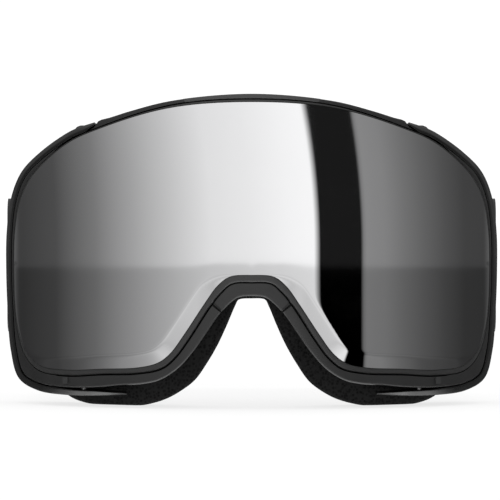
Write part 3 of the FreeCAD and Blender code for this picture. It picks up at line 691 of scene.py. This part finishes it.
make_insert("nose_bridge_insert", "nose_bridge", BRIDGE_ROWS, BRIDGE_BACK, MATERIALS["frame"])
make_insert("brow_catch", "top_catch", stations(FRAME_LOOP, -CATCH_HALF, CATCH_HALF, *TOP_HEIGHTS),
            CATCH_BACK, MATERIALS["hard"])


# ---- outriggers
ARM_THICK = 2.5
# Thickness by share of the arm's length, from its front end at the brow.
ARM_TAPER = [(0, 1.0), (0.03, ARM_THICK), (0.82, ARM_THICK), (0.93, 1.7), (1, 0.5)]
# Depth of its rear edge, and the height that goes with it.
ARM_REAR = [(-50, -4), (-43, 7), (-37, 13), (-34, 23), (-34, 78), (-48, 87), (-60, 97), (-62, 110)]
ARM_BEVEL = [(8, 0.88), (16, 0.62)]  # share of the thickness the front bevel takes, by height
BEVEL_DEEP = 2.2
ARM_ROWS = 150
ARM_CLEAR = 0.4  # gap between an arm and the face's plan curve
PIVOT = (60.0, -66.0)  # the hinge pin, in plan
SWING = 6.0  # degrees
BOSS_R = 3.4
# The pivot's boss, as radius and height.
BOSS_PROFILE = [(BOSS_R, 96.0), (BOSS_R, 97.9), (BOSS_R - 0.25, 98.9), (BOSS_R - 0.9, 99.6),
                (BOSS_R - 1.8, 99.95), (1.35, 100.05), (1.3, 99.8)]
BOSS_SIDES = 48
NO_LIMIT = 1e3


def foam_limit(x):
    """How far back an arm's underside may reach, closed and fully open."""
    shut = face_y(x, FACE, ARM_CLEAR)
    turn = math.radians(SWING)
    rel = (-PIVOT[0], APEX_Y + FACE[1] + FACE[0] - PIVOT[1])
    cx = PIVOT[0] + rel[0] * math.cos(turn) - rel[1] * math.sin(turn)
    cy = PIVOT[1] + rel[0] * math.sin(turn) + rel[1] * math.cos(turn)
    radius = FACE[0] + ARM_CLEAR
    opened = cy - np.sqrt(np.maximum(radius ** 2 - (x - cx) ** 2, 1.0))
    return np.minimum(shut, np.where(x < cx + radius - 2, opened, NO_LIMIT))


def make_arm(side, word):
    samples, _ = rounded(OUTRIGGER, closed=False)
    line = spread(samples, ARM_ROWS, end=True)
    along = np.gradient(line, axis=0)
    along /= np.linalg.norm(along, axis=1)[:, None]
    out = np.stack([-along[:, 1], along[:, 0]], 1)
    thick = np.interp(np.linspace(0, 1, ARM_ROWS), *zip(*ARM_TAPER))
    inner = line - out * thick[:, None]
    rear_y, rear_z = zip(*ARM_REAR)

    def rear(points):
        return np.minimum(np.interp(points[:, 1], rear_z, rear_y), foam_limit(points[:, 0]))

    bevel = np.interp(line[:, 1], *zip(*ARM_BEVEL))
    crown = line - out * (bevel * thick)[:, None]
    section = [at_depth(crown, lens_y(crown[:, 0], LIP_BACK)),
               at_depth(line, lens_y(line[:, 0], LIP_BACK) + BEVEL_DEEP), at_depth(line, rear(line)),
               at_depth(inner, rear(inner)), at_depth(inner, lens_y(inner[:, 0], LIP_BACK))]
    section = fillets(section, radii=[0.6, 0.9, 0.7, 0.4, 0.3], steps=5)
    section = [column * np.array([side, 1, 1]) for column in section]
    arm = loft("arm_" + word, section, MATERIALS["arm"], "outrigger_" + word, closed=False)
    angles = np.arange(BOSS_SIDES) * 2 * math.pi / BOSS_SIDES
    rings = [np.stack([side * PIVOT[0] + radius * np.cos(angles), PIVOT[1] + radius * np.sin(angles),
                       np.full(BOSS_SIDES, z)], 1) for radius, z in BOSS_PROFILE]
    faces = grid_faces(len(rings), BOSS_SIDES, wrap=True)
    faces.append(tuple(range(BOSS_SIDES)))
    faces.append(tuple((len(rings) - 1) * BOSS_SIDES + i for i in range(BOSS_SIDES)))
    pivot = make_object("arm_pivot_" + word, np.concatenate(rings), faces, MATERIALS["arm"],
                        body="outrigger_" + word)
    finish_mesh(pivot)
    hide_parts("outrigger_" + word)
    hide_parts("outrigger_" + word)


for side, word in SIDES:
    make_arm(side, word)


# ---- face foam
FOAM_STEPS = 9  # points from the front to the back of a foam's side
SWELL_POWER = 0.55  # below 1, the sides swell early and stay full
LUMP_WAVES = 7
FLOOR_CLEAR = 0.03
GLUE = 0.1
LAYER_CURVES = [FACE] + FOAM_FACES


def lumps(points, seed, size):
    """Slow unevenness of cut foam, the same on every run."""
    rng = np.random.default_rng(seed)
    total = np.zeros(len(points))
    for _ in range(LUMP_WAVES):
        wave = rng.normal(size=3) / size
        total += np.sin(points @ wave + rng.uniform(0, 2 * math.pi))
    return total / LUMP_WAVES


def make_foam(name, node, layer, material, lead, tuck, bulge, seed, crown=0.0):
    """One ring of face foam between two plan curves, with sides that swell between the glue lines."""
    def front_y(x):
        return face_y(x, LAYER_CURVES[layer]) + lead

    def back_y(x):
        return face_y(x, LAYER_CURVES[layer + 1])

    section = []
    for points_flat, sign in ((FOAM_LOOP, 1), (OPENING_LOOP, -1)):
        out = normals(points_flat)
        for k in range(FOAM_STEPS):
            t = k / (FOAM_STEPS - 1)
            if sign < 0:
                t = 1 - t
            arch = max(math.sin(math.pi * t), 0)
            swell = -tuck + (tuck + bulge) * arch ** SWELL_POWER
            flat = points_flat + sign * out * swell
            y = front_y(flat[:, 0]) * (1 - t) + back_y(flat[:, 0]) * t
            points = at_depth(flat, y)
            shift = 0.35 * lumps(points, seed, size=9.0) * arch
            points[:, [0, 2]] += sign * out * shift[:, None]
            section.append(points)
        if sign > 0:
            for share in (0.2, 0.5, 0.8):
                flat = mix(FOAM_LOOP, OPENING_LOOP, share)
                points = at_depth(flat, back_y(flat[:, 0]) + crown * math.sin(math.pi * share))
                points[:, 1] += 0.25 * lumps(points, seed + 1, size=8.0) * bool(crown)
                section.append(points)
    section = [np.column_stack([p[:, 0], p[:, 1], np.maximum(p[:, 2], FLOOR_CLEAR)]) for p in section]
    pad = loft(name, section, material, "frame", angle=60)
    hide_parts(node)


make_foam("foam_base", "face_foam_base", 0, MATERIALS["foam"],
          lead=GLUE, tuck=0.9, bulge=0.35, seed=11)
make_foam("foam_mid", "face_foam_mid", 1, MATERIALS["foam"],
          lead=GLUE, tuck=0.9, bulge=0.5, seed=23)
make_foam("foam_fleece", "face_foam_fleece", 2, MATERIALS["fleece"],
          lead=GLUE, tuck=1.1, bulge=0.3, seed=37, crown=0.9)


# ---- vent foam
STRIP_GAP = 0.15  # between a strip and the frame's wall
STRIP_IN = 2.5  # how far in the strip's inner side lies
STRIP_FRONT = SEAT_BACK + 1.2
STRIP_BACK = 0.3  # gap between a strip and the flange


def make_vent_foam(name, node, areas):
    """Thin open-cell strips inside the frame wall."""
    for number, area in enumerate(areas):
        rows = stations(WALL_LOOP, *area)
        outer = (WALL_LOOP - STRIP_GAP * WALL_OUT)[rows]
        inner = (WALL_LOOP - STRIP_IN * WALL_OUT)[rows]
        section = [at_depth(outer, lens_y(outer[:, 0], STRIP_FRONT)),
                   at_depth(outer, face_y(outer[:, 0], FACE, FLANGE) - STRIP_BACK),
                   at_depth(inner, face_y(inner[:, 0], FACE, FLANGE) - STRIP_BACK),
                   at_depth(inner, lens_y(inner[:, 0], STRIP_FRONT))]
        section = fillets(section, radii=[0.3, 0.3, 0.8, 0.8])
        title = name + ("_%d" % number if len(areas) > 1 else "")
        strip = loft(title, section, MATERIALS["vent_foam"], "frame", closed=False)
        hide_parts(node)


make_vent_foam("vent_strip_top", "vent_foam_top", [(-50, 50, *TOP_HEIGHTS)])
make_vent_foam("vent_strip_bottom", "vent_foam_bottom", [(38, 66, *FOOT_HEIGHTS), (-66, -38, *FOOT_HEIGHTS)])


# ---- strap
STRAP_LOW = box_mm("strap_end_right")[0][2]
STRAP_HIGH = box_mm("strap_end_right")[1][2]
STRAP_WIDE = STRAP_HIGH - STRAP_LOW
ANCHOR = box_mm("strap_anchor_right")
STRAP_THICK = 2.2
STRAP_IN = ANCHOR[0][0] + 0.1  # inner side of the doubled webbing
STRAP_OUT = STRAP_IN + STRAP_THICK
STRAP_REAR = 100.0  # back of the loop
STRAP_CORNER = 62.0  # plan radius of the loop's rear corners
STRAP_RISE = 8.5  # how much higher the loop sits at the back
PLY = 1.08  # thickness of one ply where the webbing is doubled
JOIN = 34.0  # depth at which the doubled end meets the loop
SLOT_BACK = 4.5  # length of the anchor's bar, front to back
LEAST_STEP = 0.05  # points closer together than this are one
STRAP_ROWS = 260
ACROSS_POINTS = 37
EDGE_ROUND = 0.4
EDGE_HALF = 0.22  # half thickness at the very edge, as a share


def strap_path():
    """Middle line of the right half of the webbing, in plan: the tail inside, round the anchor's bar,
    back along the outside and round to the middle of the back."""
    bar_x = (ANCHOR[0][0] + ANCHOR[1][0]) / 2
    bar_rear = ANCHOR[1][1]
    bar_front = bar_rear - SLOT_BACK
    reach = (ANCHOR[1][0] - ANCHOR[0][0]) / 2 + 0.5 + PLY / 2
    meet = bar_rear + 6.0
    straight = 20.0
    inside_x = STRAP_IN + PLY / 2
    outside_x = STRAP_OUT - PLY / 2
    points = [(inside_x, JOIN - 1.5), (inside_x, straight), (inside_x, meet + 2)]
    points += [(bar_x - reach, bar_rear - 0.5), (bar_x - reach, bar_front)]
    for angle in (-60, -30, 0, 30, 60):
        turn = math.radians(angle)
        points.append((bar_x + reach * math.sin(turn), bar_front - reach * 0.8 * math.cos(turn)))
    points += [(bar_x + reach, bar_front), (bar_x + reach, bar_rear - 0.5)]
    points += [(outside_x, meet + 2), (outside_x, straight), (outside_x, JOIN)]
    outside, _ = rounded(points, closed=False, per_span=14)
    centre = (STRAP_OUT - STRAP_CORNER, STRAP_REAR - STRAP_CORNER)
    angles = np.linspace(0, math.pi / 2, 60)
    radius = STRAP_CORNER - STRAP_THICK / 2
    bend = np.stack([centre[0] + radius * np.cos(angles), centre[1] + radius * np.sin(angles)], 1)
    back_x = np.linspace(centre[0], 0, 14)[1:]
    back = np.stack([back_x, np.full(len(back_x), STRAP_REAR - STRAP_THICK / 2)], 1)
    return outside, np.concatenate([bend, back])


def strap_outline(half):
    """Cross section of the webbing, as height and share of the thickness: ribbed near its two edges."""
    v = np.linspace(-half + EDGE_ROUND, half - EDGE_ROUND, ACROSS_POINTS)
    groove = 0.10 * np.exp(-((np.abs(v) - (half - 2.6)) / 0.45) ** 2)
    selvedge = 0.03 * np.exp(-((np.abs(v) - half) / 1.4) ** 2)
    rib = 1 - groove + selvedge
    outline = [(height, 0.5 * depth) for height, depth in zip(v, rib)]
    outline += [(half, EDGE_HALF), (half, -EDGE_HALF)]
    outline += [(height, -0.5 * depth) for height, depth in zip(v[::-1], rib[::-1])]
    return outline + [(-half, -EDGE_HALF), (-half, EDGE_HALF)]


def make_strap(side, word):
    """Half of the webbing, from its folded end to the middle of the back."""
    outside, rear = strap_path()
    path = np.concatenate([outside, rear])
    steps = np.linalg.norm(np.diff(path, axis=0), axis=1)
    path = path[np.concatenate([[True], steps > LEAST_STEP])]
    length = np.concatenate([[0], np.cumsum(np.linalg.norm(np.diff(path, axis=0), axis=1))])
    at = np.linspace(0, length[-1], STRAP_ROWS)
    plan = np.stack([np.interp(at, length, path[:, k]) for k in (0, 1)], 1)
    join_at = length[-1] - np.linalg.norm(np.diff(rear, axis=0), axis=1).sum() - 4.0
    full = smoothstep(join_at - 6, join_at + 12, at)
    thick = PLY + (STRAP_THICK - 0.1 - PLY) * full
    along = np.gradient(plan, axis=0)
    along /= np.linalg.norm(along, axis=1)[:, None]
    across = np.stack([along[:, 1], -along[:, 0]], 1)
    rise = STRAP_RISE * np.clip((plan[:, 1] - JOIN - 4) / (STRAP_REAR - JOIN - 4), 0, 1)
    rise = np.where(at > join_at, rise, 0)
    half = STRAP_WIDE / 2
    section = []
    weave = []
    for height, depth in strap_outline(half):
        flat = plan + across * (depth * thick)[:, None]
        section.append(np.stack([side * flat[:, 0], flat[:, 1], STRAP_LOW + half + height + rise], 1))
        weave.append(np.stack([at, np.full(STRAP_ROWS, height), np.full(STRAP_ROWS, depth)], 1))
    columns = len(section)
    vertices = np.stack(section, 1).reshape(-1, 3)
    coords = np.stack(weave, 1).reshape(-1, 3)
    faces = grid_faces(STRAP_ROWS, columns, wrap=True) + end_caps(STRAP_ROWS, columns)
    strap = make_object("strap_" + word, vertices, faces, MATERIALS["webbing"])
    layer = strap.data.attributes.new("weave", "FLOAT_VECTOR", "POINT")
    layer.data.foreach_set("vector", (coords * MM).ravel())
    work = bmesh.new()
    work.from_mesh(strap.data)
    bmesh.ops.recalc_face_normals(work, faces=work.faces)
    work.to_mesh(strap.data)
    work.free()
    strap.data.set_sharp_from_angle(angle=math.radians(70))
    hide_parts("strap_end_" + word, "strap_rear")
    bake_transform(strap)


RIB_PITCH = 0.0014  # metres
WEFT_PITCH = 0.0011
WEAVE_SPAN = (-1.4, 1.4)  # where nearly all of the weave's heights lie
SIDE_BLEND = 0.0002  # over this depth the outer side turns into the inner one


def webbing_material():
    """Elastic webbing: knitted ribs along the strap, weft across it, a paler inner side, and painted shade
    darkening the weave's grooves.
    """
    material, tree, shader = new_material("webbing")
    source = add(tree, "ShaderNodeAttribute", attribute_name="weave")
    split = add(tree, "ShaderNodeSeparateXYZ")
    tree.links.new(source.outputs["Vector"], split.inputs[0])
    warp = calc(tree, "SINE", calc(tree, "MULTIPLY", split.outputs["Y"], 2 * math.pi / RIB_PITCH))
    weft = calc(tree, "SINE", calc(tree, "MULTIPLY", split.outputs["X"], 2 * math.pi / WEFT_PITCH))
    height = calc(tree, "MULTIPLY_ADD", calc(tree, "MULTIPLY", warp, weft), 0.6, warp)
    grain = noise(tree, source.outputs["Vector"], scale=900, detail=3)
    inside = remap(tree, split.outputs["Z"], -SIDE_BLEND, SIDE_BLEND, 0.0, 1.0)
    # Painted shade: the weave's grooves are coloured darker and its ribs lighter, on both the outer and the
    # paler inner side.
    rib_shading = remap(tree, height, *WEAVE_SPAN, 0, 1)
    outer_tone = two_tone(tree, rib_shading, [0.010] * 3, [0.040] * 3)
    inner_tone = two_tone(tree, rib_shading, [0.10] * 3, [0.22] * 3)
    tone = add(tree, "ShaderNodeMix", data_type="RGBA")
    tree.links.new(inside, tone.inputs["Factor"])
    tree.links.new(inner_tone, tone.inputs["A"])
    tree.links.new(outer_tone, tone.inputs["B"])
    tree.links.new(tone.outputs["Result"], shader.inputs["Base Color"])
    tree.links.new(remap(tree, grain, *NOISE_SPAN, 0.75, 0.95), shader.inputs["Roughness"])
    shader.inputs["Sheen Weight"].default_value = 0.15
    bump(tree, shader, height, strength=0.6, distance=0.00018)
    return material


MATERIALS["webbing"] = webbing_material()
for side, word in SIDES:
    make_strap(side, word)


# ---- small solids that keep their shape
def clear_material():
    """Inner lens: thin clear sheet with a faint smoke tint."""
    material, tree, shader = new_material("inner_lens_clear")
    haze = noise(tree, object_coords(tree), scale=30, detail=4)
    tint = two_tone(tree, haze, [0.80, 0.80, 0.82], [0.88, 0.88, 0.90])
    tree.links.new(tint, shader.inputs["Base Color"])
    tree.links.new(remap(tree, haze, *NOISE_SPAN, 0.02, 0.06), shader.inputs["Roughness"])
    shader.inputs["Alpha"].default_value = 0.12
    return material


MATERIALS["clear"] = clear_material()
MATERIALS["gasket"] = foam_material("gasket_foam", tone=0.045, pore=1400.0, depth=0.0001)
MATERIALS["silicone"] = moulded("silicone_grip", tone=0.16, rough=0.5, grain=0.00001, variation=0.1)


def dress(node, material, radius=0.0, segments=2):
    """Gives a solid its finish and, where it has sharp edges, small rounded ones."""
    thing = NODES[node]
    for place in thing.material_slots:
        place.material = MATERIALS[material]
    if radius:
        bevel = thing.modifiers.new("edges", "BEVEL")
        bevel.width = radius * MM
        bevel.segments = segments
        bevel.limit_method = "ANGLE"
        bevel.angle_limit = math.radians(35)
        bevel.harden_normals = True


dress("inner_lens", "clear")
dress("lens_gasket", "gasket")
dress("lens_magnets", "steel", radius=0.08)
dress("frame_keepers", "steel", radius=0.08)
dress("hinge_pins", "steel", radius=0.1)
dress("strap_grip", "silicone", radius=0.2, segments=3)
for _, word in SIDES:
    dress("strap_anchor_" + word, "hardware", radius=0.35, segments=3)
    dress("slider_" + word, "hardware", radius=0.3, segments=3)
    dress("latch_" + word, "hardware", radius=0.2)


# ---- camera, light, floor
CAMERA_X = -0.6 * MM
CAMERA_Z = 55.5 * MM
CAMERA_DISTANCE = 1200 * MM
VIEW_WIDTH = 174.0 * MM  # seen across the lens's front
SENSOR = 36.0


def make_camera():
    data = bpy.data.cameras.new("camera")
    data.sensor_width = SENSOR
    data.lens = SENSOR * CAMERA_DISTANCE / VIEW_WIDTH
    camera = bpy.data.objects.new("camera", data)
    bpy.context.scene.collection.objects.link(camera)
    camera.location = (CAMERA_X, APEX_Y * MM - CAMERA_DISTANCE, CAMERA_Z)
    camera.rotation_euler = (math.radians(90), 0, 0)
    bpy.context.scene.camera = camera


make_camera()
bpy.context.scene.view_settings.view_transform = "Standard"

# Brightness of the studio round the goggles, by azimuth in degrees from straight ahead (-Y),
# positive to the viewer's right. A dark gap between two panels makes the stripe on the lens.
STUDIO = [
    (-180, 0.09), (-128, 0.09), (-122, 0.035), (-118, 0.035), (-94, 0.055), (-71, 0.155), (-52, 0.31),
    (-34, 0.48), (-17, 0.66), (0, 0.72), (16, 0.80), (27.8, 0.84), (28.4, 0.0), (48.6, 0.0),
    (49.4, 0.21), (59.5, 0.19), (69.6, 0.14), (80, 0.10), (92.5, 0.063), (106, 0.038), (122, 0.035),
    (128, 0.09), (180, 0.09),
]
# And by height, as the sine of the elevation: a factor on the above, and light added to it.
STUDIO_HEIGHT = [
    (-1.0, 0.2, 1.6), (-0.86, 0.3, 2.4), (-0.7, 0.5, 2.4), (-0.63, 0.9, 0.1), (-0.58, 0.95, 0.0),
    (-0.5, 0.95, 0.0), (-0.42, 1.2, 0.0), (-0.34, 0.85, 0.0), (-0.24, 1.1, 0.0), (-0.16, 0.9, 0.0),
    (-0.1, 1.0, 0.0), (0.08, 1.0, 0.0), (0.25, 0.8, 0.12), (0.5, 0.5, 0.35), (1.0, 0.3, 0.45),
]
PANEL_TOP = 1.3  # full scale of the three curves: panels, factor, added light
GAIN_TOP = 2.0
GLOW_TOP = 4.0
HORIZON = -0.005  # above this height the panels are brighter
HORIZON_SOFT = 0.0004
HORIZON_GAIN = 1.38
HORIZON_GLOW = 0.012
LEAN = 7.0  # degrees the panels lean sideways above the horizon
LEAN_HEIGHT = 0.045  # the height over which they do
SURROUND = 1.08  # plain light on everything but reflections


def float_curve(tree, value, points):
    """A curve with straight runs between its points, both axes from 0 to 1."""
    node = add(tree, "ShaderNodeFloatCurve")
    line = node.mapping.curves[0]
    while len(line.points) < len(points):
        line.points.new(0.5, 0.5)
    for point, place in zip(line.points, points):
        point.location = place
        point.handle_type = "VECTOR"
    node.mapping.update()
    tree.links.new(value, node.inputs["Value"])
    return node.outputs[0]


def make_world():
    """Panels that only reflections see, and a plain white surround that lights everything else."""
    world = bpy.data.worlds.new("studio")
    bpy.context.scene.world = world
    world.use_nodes = True
    tree = world.node_tree
    tree.nodes.clear()
    output = add(tree, "ShaderNodeOutputWorld")
    coords = add(tree, "ShaderNodeTexCoord")
    split = add(tree, "ShaderNodeSeparateXYZ")
    tree.links.new(coords.outputs["Generated"], split.inputs[0])
    east, north, up = split.outputs
    azimuth = calc(tree, "ARCTAN2", east, calc(tree, "MULTIPLY", north, -1.0))
    bend = calc(tree, "POWER", remap(tree, up, 0.0, LEAN_HEIGHT, 0.0, 1.0), 2.0)
    lean = calc(tree, "MULTIPLY_ADD", bend, math.radians(LEAN), azimuth)
    turn = remap(tree, lean, -math.pi, math.pi, 0.0, 1.0)
    height = remap(tree, up, -1.0, 1.0, 0.0, 1.0)
    curve = float_curve(tree, turn, [((angle + 180) / 360, level / PANEL_TOP) for angle, level in STUDIO])
    gain = float_curve(tree, height, [((z + 1) / 2, factor / GAIN_TOP) for z, factor, _ in STUDIO_HEIGHT])
    glow = float_curve(tree, height, [((z + 1) / 2, added / GLOW_TOP) for z, _, added in STUDIO_HEIGHT])
    step = (HORIZON - HORIZON_SOFT, HORIZON + HORIZON_SOFT)
    above = remap(tree, up, *step, 1.0, HORIZON_GAIN)
    haze = remap(tree, up, *step, 0.0, HORIZON_GLOW / PANEL_TOP)
    panel = calc(tree, "MULTIPLY_ADD", curve, above, haze)
    strength = calc(tree, "MULTIPLY", gain, PANEL_TOP * GAIN_TOP)
    level = calc(tree, "MULTIPLY_ADD", panel, strength, calc(tree, "MULTIPLY", glow, GLOW_TOP))
    grey = add(tree, "ShaderNodeCombineColor")
    for channel in grey.inputs:
        tree.links.new(level, channel)
    studio = add(tree, "ShaderNodeBackground")
    tree.links.new(grey.outputs[0], studio.inputs["Color"])
    plain = add(tree, "ShaderNodeBackground")
    plain.inputs["Color"].default_value = (1, 1, 1, 1)
    plain.inputs["Strength"].default_value = SURROUND
    path = add(tree, "ShaderNodeLightPath")
    choose = add(tree, "ShaderNodeMixShader")
    tree.links.new(path.outputs["Is Glossy Ray"], choose.inputs[0])
    tree.links.new(plain.outputs[0], choose.inputs[1])
    tree.links.new(studio.outputs[0], choose.inputs[2])
    tree.links.new(choose.outputs[0], output.inputs["Surface"])


make_world()


FLOOR_HALF = 3.0  # metres
FLOOR_DROP = 0.0002
FLOOR_TONE = 0.26
FLOOR_GLOW = 0.76


def make_floor():
    """Plain white floor, which shows shadows and no reflections."""
    size = FLOOR_HALF
    corners = [(-size, -size, 0), (size, -size, 0), (size, size, 0), (-size, size, 0)]
    mesh = bpy.data.meshes.new("floor")
    mesh.from_pydata(corners, [], [(0, 1, 2, 3)])
    material, _, shader = new_material("floor_white")
    shader.inputs["Base Color"].default_value = (FLOOR_TONE, FLOOR_TONE, FLOOR_TONE, 1)
    shader.inputs["Roughness"].default_value = 0.9
    shader.inputs["Specular IOR Level"].default_value = 0.0
    shader.inputs["Emission Color"].default_value = (1, 1, 1, 1)
    shader.inputs["Emission Strength"].default_value = FLOOR_GLOW
    mesh.materials.append(material)
    floor = bpy.data.objects.new("floor", mesh)
    bpy.context.scene.collection.objects.link(floor)
    floor.location.z = -FLOOR_DROP
    floor.visible_glossy = False
make_floor()
